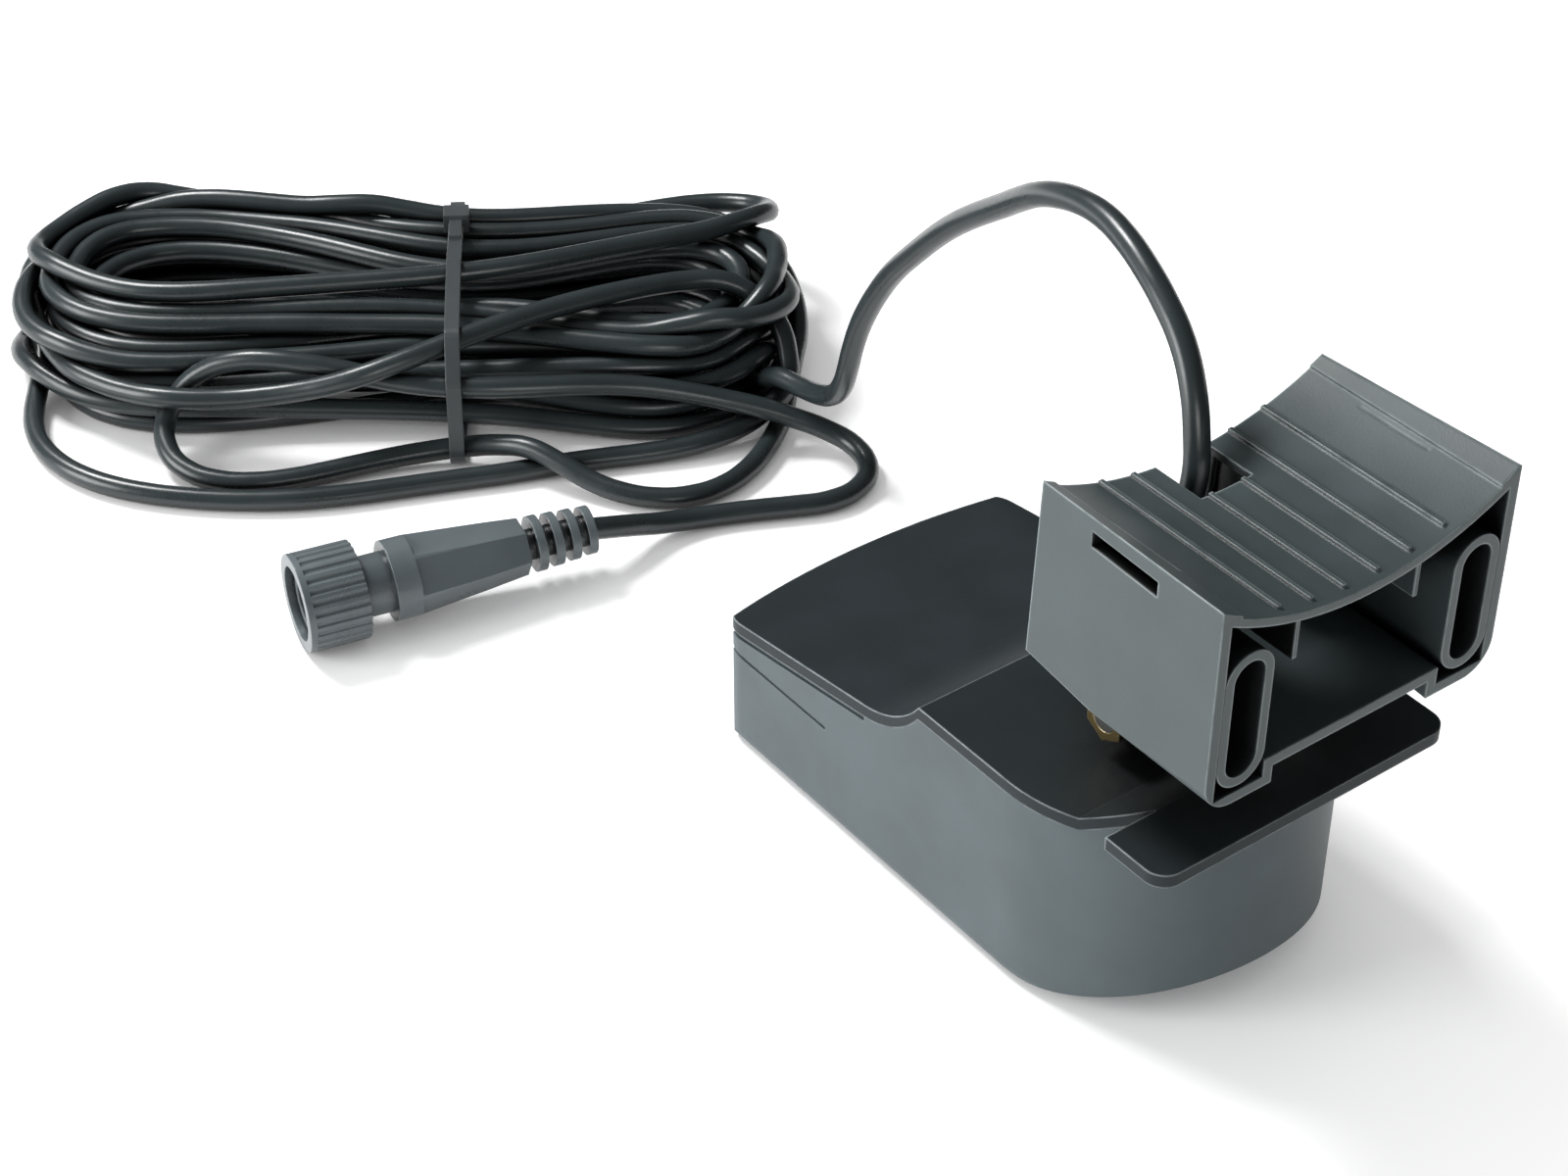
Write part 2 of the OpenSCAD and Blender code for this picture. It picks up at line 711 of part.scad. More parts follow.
// Strap around the middle of the hank with its lock head
module cable_tie() {
    color([0.05, 0.05, 0.055])
    translate([hank_x, hank_y, 0]) rotate(hank_turn) translate([tie_place, 0, 0]) {
        difference() {
            translate([-tie_half_w, -tie_outer_w / 2, 0]) cube([tie_w, tie_outer_w, tie_outer_h]);
            translate([-tie_w, -hank_w / 2, -over]) cube([2 * tie_w, hank_w, hank_h + over]);
        }
        translate([-tie_head / 2, hank_w / 2 - 2 * tie_head, tie_outer_h])
            cube([tie_head, tie_head, tie_w]);
    }
}

// Places a piece on the plug's axis: Z of the piece runs from the open end toward the cable
module on_plug() {
    translate([plug_x, plug_y, plug_z]) rotate([0, 0, plug_turn]) rotate([0, 90, 0]) children();
}

// Moulded plug body with the shell and flange that carry the coupling nut
module plug_body() {
    color([0.11, 0.12, 0.13]) on_plug() difference() {
        rotate_extrude() polygon([[0, shell_s], [shell_r, shell_s], [shell_r, flange_s],
                                  [flange_r, flange_s],
                                  [flange_r, flange_e], [neck_r, flange_e], [neck_r, plug_collar_s],
                                  [plug_collar_r, plug_collar_s], [plug_collar_r, plug_collar_s + over],
                                  [plug_tail_r, plug_tail_s], [0, plug_tail_s]]);
        translate([0, 0, -over]) cylinder(r = insert_r, h = insert_e + over);
        seal_form();
        // grip flats along the taper
        for (k = [0:flat_count - 1]) rotate(360 * k / flat_count)
            translate([plug_collar_r - flat_depth, 0, plug_collar_s + over]) rotate([0, -plug_taper, 0])
                translate([0, -plug_collar_r, 0]) cube([over, 2 * plug_collar_r, plug_tail_s]);
    }
}

// Insulating insert with its contact holes
module contact_insert() {
    color([0.05, 0.05, 0.055]) on_plug() difference() {
        translate([0, 0, insert_s]) cylinder(r = insert_r, h = insert_e - insert_s);
        contact_set(contact_r, insert_s - over, insert_e - over);
    }
}

// Cylinders at the places of the contacts
module contact_set(r, s0, s1) {
    for (k = [0:contact_count - 1]) rotate(360 * k / contact_count)
        translate([contact_circle_r, 0, s0]) cylinder(r = r, h = s1 - s0, $fn = 24);
}

// Contacts, flush with the face of the insert
module contacts() {
    color([0.8, 0.68, 0.35]) on_plug() contact_set(contact_r, insert_s, insert_e - over);
}

// Sealing ring around the shell
module plug_seal() {
    color([0.04, 0.04, 0.045]) on_plug() seal_form();
}

// Round ring that sits in a groove of the shell
module seal_form() {
    translate([0, 0, seal_s]) rotate_extrude()
        translate([shell_r - seal_sink, 0]) circle(seal_r, $fn = 32);
}

// Fluted nut that turns on the plug
module coupling_nut() {
    color([0.1, 0.11, 0.12]) on_plug() difference() {
        cylinder(r = coupling_r, h = coupling_l);
        translate([0, 0, -over]) cylinder(r = coupling_in_r, h = lip_s + over);
        cylinder(r = coupling_lip_r, h = coupling_l + over);
        for (k = [0:coupling_flutes - 1]) rotate((k + 0.5) * 360 / coupling_flutes)
            translate([coupling_r + flute_r / 2, 0, coupling_rim])
                cylinder(r = flute_r, h = coupling_l, $fn = 24);
    }
}

// Ribbed sleeve that keeps the cable from kinking at the plug
module strain_relief() {
    pitch = relief_l / relief_ribs;
    fall = (plug_tail_r - relief_end_r) / relief_ribs;
    color([0.11, 0.12, 0.13]) on_plug() translate([0, 0, plug_tail_s]) {
        cylinder(r = sleeve_r, h = relief_l);
        for (k = [0:relief_ribs - 1]) translate([0, 0, (k + 1 - rib_share) * pitch])
            cylinder(r = plug_tail_r - fall * (k + 1), h = pitch * rib_share);
    }
}

lower_housing();
top_cover();
potting();
ceramic_element();
isolation_ring();
temperature_sensor();
cable_gland();
pivot_bolt();
lock_nut();
flat_washer_bolt();
flat_washer_nut();
rubber_washer_near();
rubber_washer_far();
transom_bracket();
cable_arch();
cable_hank();
cable_tie();
cable_tail();
strain_relief();
plug_body();
contact_insert();
contacts();
plug_seal();
coupling_nut();
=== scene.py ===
"""Looks of a transom-mount sonar transducer: finishes, the tied cable, the studio and the camera."""

import logging
import math
from dataclasses import dataclass, field
from enum import Enum
from typing import Any, Iterable, NamedTuple, Optional, Sequence, Union

import bmesh
import bpy
from mathutils import Matrix, Vector
from mathutils.geometry import convex_hull_2d
from mathutils.kdtree import KDTree


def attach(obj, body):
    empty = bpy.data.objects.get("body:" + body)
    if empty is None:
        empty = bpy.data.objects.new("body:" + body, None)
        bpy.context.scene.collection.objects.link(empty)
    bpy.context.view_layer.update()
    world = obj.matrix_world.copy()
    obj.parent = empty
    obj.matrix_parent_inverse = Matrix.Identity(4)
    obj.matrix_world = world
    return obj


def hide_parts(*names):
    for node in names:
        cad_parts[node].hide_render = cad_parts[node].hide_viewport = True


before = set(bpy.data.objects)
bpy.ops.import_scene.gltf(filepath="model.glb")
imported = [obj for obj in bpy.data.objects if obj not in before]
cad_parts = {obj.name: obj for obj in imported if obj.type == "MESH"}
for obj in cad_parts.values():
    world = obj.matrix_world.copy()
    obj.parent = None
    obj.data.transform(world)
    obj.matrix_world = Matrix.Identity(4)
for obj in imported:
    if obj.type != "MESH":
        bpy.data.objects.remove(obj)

log = logging.getLogger("transducer")
MM = 0.001
Point = tuple[float, float, float]
Colour = tuple[float, float, float]
Span = tuple[float, float]
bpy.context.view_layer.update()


class Body(Enum):
    """Bodies that the new pieces ride on."""

    TRANSDUCER = "transducer"


class Grain(Enum):
    """Kinds of fine relief that a finish may have."""

    SPARK = "spark"
    SMOOTH = "smooth"
    BRUSHED = "brushed"
    PORES = "pores"


class Value:
    """A node socket that can be used in Python expressions."""

    def __init__(self, graph: "Graph", socket: bpy.types.NodeSocket) -> None:
        """Keep the graph and the socket."""
        self.graph = graph
        self.socket = socket

    def _math(self, operation: str, first: Any, second: Any) -> "Value":
        """Add one Math node and return its result."""
        return self.graph.node("ShaderNodeMath", {"operation": operation}, {0: first, 1: second})

    def __add__(self, other: Any) -> "Value":
        """Sum."""
        return self._math("ADD", self, other)

    def __radd__(self, other: Any) -> "Value":
        """Sum with the number first."""
        return self._math("ADD", other, self)

    def __sub__(self, other: Any) -> "Value":
        """Difference."""
        return self._math("SUBTRACT", self, other)

    def __rsub__(self, other: Any) -> "Value":
        """Difference with the number first."""
        return self._math("SUBTRACT", other, self)

    def __mul__(self, other: Any) -> "Value":
        """Product."""
        return self._math("MULTIPLY", self, other)

    def __rmul__(self, other: Any) -> "Value":
        """Product with the number first."""
        return self._math("MULTIPLY", other, self)

    def clamp(self, low: float, high: float) -> "Value":
        """Spread the span from low to high over 0 to 1, held at both ends."""
        inputs = {"Value": self, "From Min": low, "From Max": high}
        return self.graph.node("ShaderNodeMapRange", {"clamp": True}, inputs)


class Graph:
    """The node tree of one material."""

    def __init__(self, name: str) -> None:
        """Start an empty node material.

        Args:
            name: Name of the material.
        """
        self.material = bpy.data.materials.new(name)
        self.material.use_nodes = True
        self.tree = self.material.node_tree
        self.tree.nodes.clear()
        self.output = self.tree.nodes.new("ShaderNodeOutputMaterial")

    def node(self, kind: str, settings: dict[str, Any], inputs: dict[Any, Any],
             out: Union[int, str] = 0) -> Value:
        """Add any node.

        Args:
            kind: Type of the node.
            settings: Its own settings, set before its sockets.
            inputs: Values or links of its sockets, by name or number.
            out: Which output to return.

        Returns:
            The output as a value.
        """
        made = self.tree.nodes.new(kind)
        for key, setting in settings.items():
            setattr(made, key, setting)
        for key, given in inputs.items():
            if isinstance(given, Value):
                self.tree.links.new(given.socket, made.inputs[key])
            else:
                made.inputs[key].default_value = given
        return Value(self, made.outputs[out])

    def place(self) -> Value:
        """Object coordinates, in metres."""
        return self.node("ShaderNodeTexCoord", {}, {}, "Object")

    def noise(self, scale: float, detail: float, where: Optional[Value] = None) -> Value:
        """Noise over the surface.

        Args:
            scale: Cells in a metre.
            detail: Octaves.
            where: Coordinates, or the object's own.

        Returns:
            A value about 0.5.
        """
        inputs = {"Vector": where or self.place(), "Scale": scale, "Detail": detail}
        return self.node("ShaderNodeTexNoise", {}, inputs)

    def mix(self, share: Any, first: Any, second: Any) -> Value:
        """Blend two colours by a share."""
        return self.node("ShaderNodeMix", {"data_type": "RGBA"}, {0: share, 6: first, 7: second}, 2)

    def close(self, shader: Value) -> bpy.types.Material:
        """Join a shader to the output and return the material."""
        self.tree.links.new(shader.socket, self.output.inputs["Surface"])
        return self.material


def rgba(colour: Colour) -> tuple[float, float, float, float]:
    """Colour with an opaque fourth number."""
    return (*colour, 1.0)


# Noise of the patches of tone and of the light edges, which are partly wear and partly painted
# highlight: cells in a metre, octaves.
PATCH_NOISE = (60.0, 3.0)
WEAR_AND_HIGHLIGHT_NOISE = (220.0, 2.0)
# Spans of a value that are spread over 0 to 1.
PATCH_SPAN: Span = (0.3, 0.7)
WEAR_AND_HIGHLIGHT_SPAN: Span = (0.1, 0.5)
EDGE_SPAN: Span = (0.015, 0.22)
PAINTED_SHADE_SPAN: Span = (0.38, 0.74)
# Colour of the painted shade in deep corners.
PAINTED_SHADE_COLOUR: Colour = (0.002, 0.002, 0.002)
# Change of roughness with the patches and with the grain.
PATCH_ROUGH = 0.16
GRAIN_ROUGH = 0.1
# Depth of the full relief, in millimetres.
RELIEF_DEPTH = 0.2
# Rays that look for edges, and for the corners and the floor near the object, where shade is painted.
EDGE_RAYS = 6
PAINTED_SHADE_RAYS = 8
# Octaves of the grains, stretch of brushing along Y, and how much coarser a smooth grain is.
SPARK_DETAIL = 3.0
FINE_DETAIL = 2.0
BRUSH_STRETCH: Point = (1.0, 12.0, 1.0)
SMOOTH_SCALE = 0.2


@dataclass(frozen=True)
class Finish:
    """A solid finish: its colour, gloss and grain, light edges that are partly wear and partly painted
    highlight, and painted shade in its corners if it has a reach for it. Lengths in millimetres.
    """

    name: str
    colour: Colour
    rough: float
    metallic: float = 0.0
    grain: Grain = Grain.SPARK
    grain_size: float = 0.35
    relief: float = 0.12
    edge_colour: Colour = (0.2, 0.22, 0.23)
    edge_r: float = 0.35
    edge_share: float = 0.5
    mottle: float = 0.12
    specular: float = 0.5
    coat: float = 0.0
    # reach of the painted shade in corners, creases and between strands, or 0 for none
    shade: float = 0.0

    def material(self) -> bpy.types.Material:
        """Build the node material, or find it.

        Returns:
            The finished material.
        """
        name = self.name + "_finish"
        found = bpy.data.materials.get(name)
        if found:
            return found
        g = Graph(name)
        patches = g.noise(*PATCH_NOISE)
        soft = g.node("ShaderNodeBevel", {"samples": EDGE_RAYS}, {"Radius": self.edge_r * MM})
        fine = self._relief(g)
        rough = (patches - 0.5) * PATCH_ROUGH + (fine - 0.5) * GRAIN_ROUGH + self.rough
        bump = g.node("ShaderNodeBump", {}, {
            "Strength": self.relief, "Distance": RELIEF_DEPTH * MM, "Height": fine, "Normal": soft})
        shader = g.node("ShaderNodeBsdfPrincipled", {}, {
            "Base Color": self._tone(g, patches, soft), "Roughness": rough, "Metallic": self.metallic,
            "Normal": bump, "Specular IOR Level": self.specular, "Coat Weight": self.coat})
        return g.close(shader)

    def _tone(self, g: Graph, patches: Value, soft: Value) -> Value:
        """Colour with its patches, light edges that are partly wear and partly painted highlight, and
        painted shade in corners.

        Args:
            g: The graph to add to.
            patches: Noise of the patches.
            soft: Normal that is rounded at edges.

        Returns:
            The colour.
        """
        hard = g.node("ShaderNodeNewGeometry", {}, {}, "Normal")
        turn = g.node("ShaderNodeVectorMath", {"operation": "DOT_PRODUCT"}, {0: soft, 1: hard}, "Value")
        edge = (1.0 - turn).clamp(*EDGE_SPAN)
        # light edges: partly wear, partly a painted highlight along rounded edges
        wear_and_highlight = edge * g.noise(*WEAR_AND_HIGHLIGHT_NOISE).clamp(*WEAR_AND_HIGHLIGHT_SPAN) * self.edge_share
        dark = tuple(c * (1.0 - self.mottle) for c in self.colour)
        light = tuple(min(1.0, c * (1.0 + self.mottle)) for c in self.colour)
        base = g.mix(patches.clamp(*PATCH_SPAN), rgba(dark), rgba(light))
        tone = g.mix(wear_and_highlight, base, rgba(self.edge_colour))
        if self.shade == 0.0:
            return tone
        # painted shade: the colour goes to near black in corners, creases and between strands, where
        # shade falls
        rays = {"samples": PAINTED_SHADE_RAYS}
        free = g.node("ShaderNodeAmbientOcclusion", rays, {"Distance": self.shade * MM}, "AO")
        return g.mix(free.clamp(*PAINTED_SHADE_SPAN), rgba(PAINTED_SHADE_COLOUR), tone)

    def _relief(self, g: Graph) -> Value:
        """Fine relief of the grain.

        Args:
            g: The graph to add to.

        Returns:
            Height from 0 to 1.
        """
        scale = 1.0 / (self.grain_size * MM)
        if self.grain is Grain.SPARK:
            return g.noise(scale, SPARK_DETAIL)
        if self.grain is Grain.PORES:
            return g.node("ShaderNodeTexVoronoi", {}, {"Vector": g.place(), "Scale": scale}, "Distance")
        if self.grain is Grain.BRUSHED:
            brushed = g.node("ShaderNodeMapping", {}, {"Vector": g.place(), "Scale": BRUSH_STRETCH})
            return g.noise(scale, FINE_DETAIL, brushed)
        return g.noise(scale * SMOOTH_SCALE, FINE_DETAIL)


# Light edge colours stand partly for wear and partly for painted highlights on rounded edges; the bright
# edges of the cover and the bracket are painted highlights. Finishes with a reach of shade get painted
# shade in corners, under the bracket and between strands.
HOUSING = Finish(
    "housing_plastic", (0.094, 0.118, 0.127), 0.5, edge_colour=(0.22, 0.26, 0.28), edge_share=0.8,
    specular=0.35)
# The cover's colour is far darker than the housing's: partly its own black, partly painted shade for its
# upward faces, which get little light.
COVER = Finish(
    "cover_plastic", (0.017, 0.024, 0.027), 0.5, edge_colour=(0.46, 0.52, 0.54), edge_r=0.6,
    edge_share=1.0, specular=0.22, shade=36.0)
BRACKET = Finish(
    "bracket_plastic", (0.06, 0.079, 0.083), 0.44, edge_colour=(0.4, 0.46, 0.47), edge_r=0.7,
    edge_share=1.0, specular=0.45, shade=24.0)
CABLE = Finish(
    "cable_jacket", (0.027, 0.036, 0.039), 0.3, grain=Grain.SMOOTH, relief=0.05, edge_share=0.0,
    mottle=0.1, shade=7.0)
PLUG = Finish(
    "plug_plastic", (0.13, 0.155, 0.166), 0.3, edge_colour=(0.36, 0.41, 0.43), edge_share=0.8, shade=6.0)
RUBBER = Finish("rubber", (0.018, 0.019, 0.02), 0.7, grain_size=0.25, relief=0.2, edge_share=0.2)
TIE = Finish(
    "tie_plastic", (0.055, 0.064, 0.068), 0.35, grain=Grain.SMOOTH, relief=0.04, edge_share=0.3)
RESIN = Finish(
    "resin", (0.03, 0.03, 0.034), 0.25, grain=Grain.SMOOTH, relief=0.1, edge_share=0.1, coat=0.4)
CERAMIC = Finish(
    "ceramic", (0.7, 0.65, 0.55), 0.35, grain_size=0.2, relief=0.06, edge_colour=(0.8, 0.76, 0.68))
CORK = Finish(
    "cork", (0.4, 0.27, 0.15), 0.85, grain=Grain.PORES, grain_size=1.6, relief=0.5, edge_share=0.0,
    mottle=0.35)
STEEL = Finish(
    "steel", (0.42, 0.42, 0.4), 0.3, metallic=1.0, grain=Grain.BRUSHED, grain_size=0.4, relief=0.08,
    edge_colour=(0.75, 0.74, 0.72), edge_r=0.3, mottle=0.06)
BRASS = Finish(
    "brass", (0.5, 0.38, 0.17), 0.3, metallic=1.0, grain=Grain.SMOOTH, grain_size=0.6, relief=0.06,
    edge_colour=(0.85, 0.75, 0.5), edge_r=0.3, edge_share=0.6, mottle=0.1)


def dress(finish: Finish, nodes: Iterable[str]) -> None:
    """Give CAD nodes a finish.

    Args:
        finish: The finish.
        nodes: Names of the nodes.
    """
    material = finish.material()
    for name in nodes:
        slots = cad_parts[name].data.materials
        slots.clear()
        slots.append(material)
        log.info("dressed %s with %s", name, finish.name)


def piece(name: str, bm: bmesh.types.BMesh, finish: Finish, body: Body) -> bpy.types.Object:
    """Turn a bmesh into a dressed piece that rides on a body.

    Args:
        name: Name of the piece.
        bm: Its shape; it is freed.
        finish: Its finish.
        body: The body that it rides on.

    Returns:
        The new object.
    """
    mesh = bpy.data.meshes.new(name)
    bm.to_mesh(mesh)
    bm.free()
    made = bpy.data.objects.new(name, mesh)
    bpy.context.scene.collection.objects.link(made)
    mesh.materials.append(finish.material())
    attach(made, body.value)
    log.info("built %s", name)
    return made


@dataclass
class Housing:
    """Potted housing with its stepped cover and the sounding parts inside."""

    def dress(self) -> None:
        """Give each node its finish."""
        dress(HOUSING, ["lower_housing"])
        dress(COVER, ["top_cover"])
        dress(RESIN, ["potting"])
        dress(CERAMIC, ["ceramic_element"])
        dress(CORK, ["isolation_ring"])
        dress(STEEL, ["temperature_sensor"])
        dress(RUBBER, ["cable_gland"])


@dataclass
class Mounting:
    """Transom bracket and the bolt that it turns on."""

    def dress(self) -> None:
        """Give each node its finish."""
        dress(BRACKET, ["transom_bracket"])
        dress(STEEL, ["pivot_bolt", "flat_washer_bolt", "flat_washer_nut"])
        dress(BRASS, ["lock_nut"])
        dress(RUBBER, ["rubber_washer_near", "rubber_washer_far"])


@dataclass
class Plug:
    """Round plug at the end of the cable."""

    nodes: Sequence[str] = (
        "strain_relief", "plug_body", "contact_insert", "contacts", "plug_seal", "coupling_nut")

    def dress(self) -> None:
        """Give each node its finish."""
        dress(PLUG, ["strain_relief", "plug_body", "coupling_nut"])
        dress(TIE, ["contact_insert"])
        dress(BRASS, ["contacts"])
        dress(RUBBER, ["plug_seal"])


class Wave(NamedTuple):
    """Slow swing of a strand as it is wound."""

    size: float
    pace: float
    start: float

    def at(self, wound: float) -> float:
        """Swing after a number of turns."""
        return self.size * math.sin(self.pace * wound + self.start)


class Turn(NamedTuple):
    """One turn of the hank: radius of its round ends, height, skew in degrees, narrowing at the tie."""

    end_r: float
    height: float
    skew: float
    waist: float


@dataclass
class Hank:
    """Oval turns of the cable and the strands that lie loose on them. Millimetres and degrees."""

    middle: Point = (-213.5, -13.0, 0.0)
    heading: float = 52.0
    half_straight: float = 52.0
    points_a_turn: int = 24
    # share of a turn that each round half end takes, and of the last turn that is left out
    end_share: float = 0.13
    last_open: float = 0.45
    # share of a turn at which it starts to climb to the next one, and share that the climb takes
    climb_from: float = 0.6
    climb_share: float = 0.35
    # for each millimetre over the middle height: growth of the half length, and lean to the far side
    middle_height: float = 9.0
    spread: float = 0.4
    lean: float = 0.4
    # place and half length of the stretch that the tie draws in
    waist_at: float = 12.0
    waist_reach: float = 36.0
    end_swing: Wave = Wave(2.5, 2.4, 1.0)
    side_swing: Wave = Wave(0.8, 1.7, 0.0)
    turns: Sequence[Turn] = (
        Turn(17.0, 7.0, 0, 0.6), Turn(22.0, 7.0, 0, 0.35), Turn(29.5, 7.0, 0, 0.1),
        Turn(30.0, 2.4, 0, 0.1), Turn(20.5, 2.4, 0, 0.5), Turn(23.5, 11.2, 0, 0.35),
        Turn(28.3, 11.2, 0, 0.14), Turn(28.5, 15.5, 1, 0.15), Turn(23.7, 15.5, 1, 0.4),
        Turn(18.9, 15.5, 1, 0.6), Turn(18.9, 19.6, -2, 0.65), Turn(23.7, 19.6, -2, 0.4),
        Turn(27.5, 19.6, -1, 0.2))
    # loose strands: along the hank, across it, and up
    loose: Sequence[Point] = (
        (-64, -8, 22.5), (-44, -11, 24), (1, -6, 25), (23, -2, 25.5), (46, 7, 25.5), (62, 14, 25),
        (73, 20, 23.5), (80, 29, 20.5), (77, 39, 18), (63, 42, 16.5), (42, 37, 15), (16, 34, 13.5),
        (-30, 35, 13), (-60, 33, 12), (-76, 22, 12), (-82, 4, 10), (-80, -11, 6), (-80, -23, 3),
        (-77, -35, 2.4), (-69, -46, 2.4), (-56, -54, 2.4), (-32, -58, 2.4), (-9, -56, 2.4),
        (19, -48, 2.4), (45, -41, 2.4), (64, -37, 3), (77, -29, 6), (82, -18, 11), (79, -8, 17),
        (70, -5, 22), (57, -8, 25), (36, -17, 25.5), (13, -30, 24), (-5, -36.5, 19.5),
        (-28, -36.5, 14.5), (-50, -34.5, 12), (-69, -24, 12.5), (-82, 0, 15), (-82, 19, 17.5),
        (-66, 30, 19.5), (-30, 28, 20.5), (16, 26, 20.5), (50, 30, 19.5), (71, 27, 16.5),
        (83, 13, 12), (85, -6, 7.5), (82, -25, 3.8), (78, -42, 2.4), (67, -54, 2.4), (54, -55, 2.4),
        (37, -47, 2.8), (16, -40, 4), (-8, -46, 2.8), (-25, -51.5, 2.4), (-37, -51, 2.4),
        (-46, -45.5, 4), (-50, -38.5, 8), (-47, -33.5, 13), (-40, -32, 17.5), (-30, -32.5, 20.5),
        (-20, -34, 20.8), (-8, -35.5, 19.5), (10, -36.5, 17.5), (26, -36.5, 17), (40, -33.5, 16),
        (52, -31, 14.5))

    def world(self, u: float, v: float, z: float) -> Point:
        """Point of the scene from a place along, across and over the hank."""
        c, s = math.cos(math.radians(self.heading)), math.sin(math.radians(self.heading))
        return (self.middle[0] + u * c - v * s, self.middle[1] + u * s + v * c, z)

    def _oval(self, part: float, reach: float, r: float) -> tuple[float, float]:
        """Place on a long oval with round ends.

        Args:
            part: Share of the turn, from the right end over the far side.
            reach: Half length of the straight sides.
            r: Radius of the ends.

        Returns:
            Places along and across the hank.
        """
        end = self.end_share
        side_share = 0.5 - 2.0 * end
        if end <= part < 0.5 - end:
            return reach * (1.0 - 2.0 * (part - end) / side_share), r
        if 0.5 + end <= part < 1.0 - end:
            return reach * (2.0 * (part - 0.5 - end) / side_share - 1.0), -r
        left = end < part < 1.0 - end
        away = (part - 0.5 if left else part if part < 0.5 else part - 1.0) / end * math.pi / 2
        side = -1.0 if left else 1.0
        return side * (reach + r * math.cos(away)), side * r * math.sin(away)

    def _turn_at(self, wound: float) -> Turn:
        """Measures of the turn after a number of turns, with the climb to the next one.

        Args:
            wound: Number of turns so far.

        Returns:
            The measures there.
        """
        k, part = divmod(wound, 1.0)
        now = self.turns[int(k)]
        after = self.turns[min(int(k) + 1, len(self.turns) - 1)]
        share = min(1.0, max(0.0, (part - self.climb_from) / self.climb_share))
        share = share * share * (3 - 2 * share)
        return Turn(*(p + (q - p) * share for p, q in zip(now, after)))

    def coil(self) -> list[Point]:
        """Turns of the hank, wound one after the other.

        Returns:
            Points of the scene.
        """
        made: list[Point] = []
        for i in range(int((len(self.turns) - self.last_open) * self.points_a_turn)):
            wound = i / self.points_a_turn
            turn = self._turn_at(wound)
            over = turn.height - self.middle_height
            reach = self.half_straight + self.spread * over + self.end_swing.at(wound)
            u, v = self._oval(wound % 1.0, reach, turn.end_r)
            free = 1.0 - math.exp(-((u - self.waist_at) / self.waist_reach) ** 2)
            v *= 1.0 - turn.waist * (1.0 - free)
            v += self.side_swing.at(wound) + max(0.0, over) * self.lean * free
            c, s = math.cos(math.radians(turn.skew)), math.sin(math.radians(turn.skew))
            made.append(self.world(u * c - v * s, u * s + v * c, turn.height))
        return made

    def strands(self) -> list[Point]:
        """All turns, and then the loose strands."""
        return [*self.coil(), *(self.world(*p) for p in self.loose)]


class Block(NamedTuple):
    """Block on the tie: its size, its place across, and the lift of its middle over the strands."""

    size: Point
    across: float
    lift: float


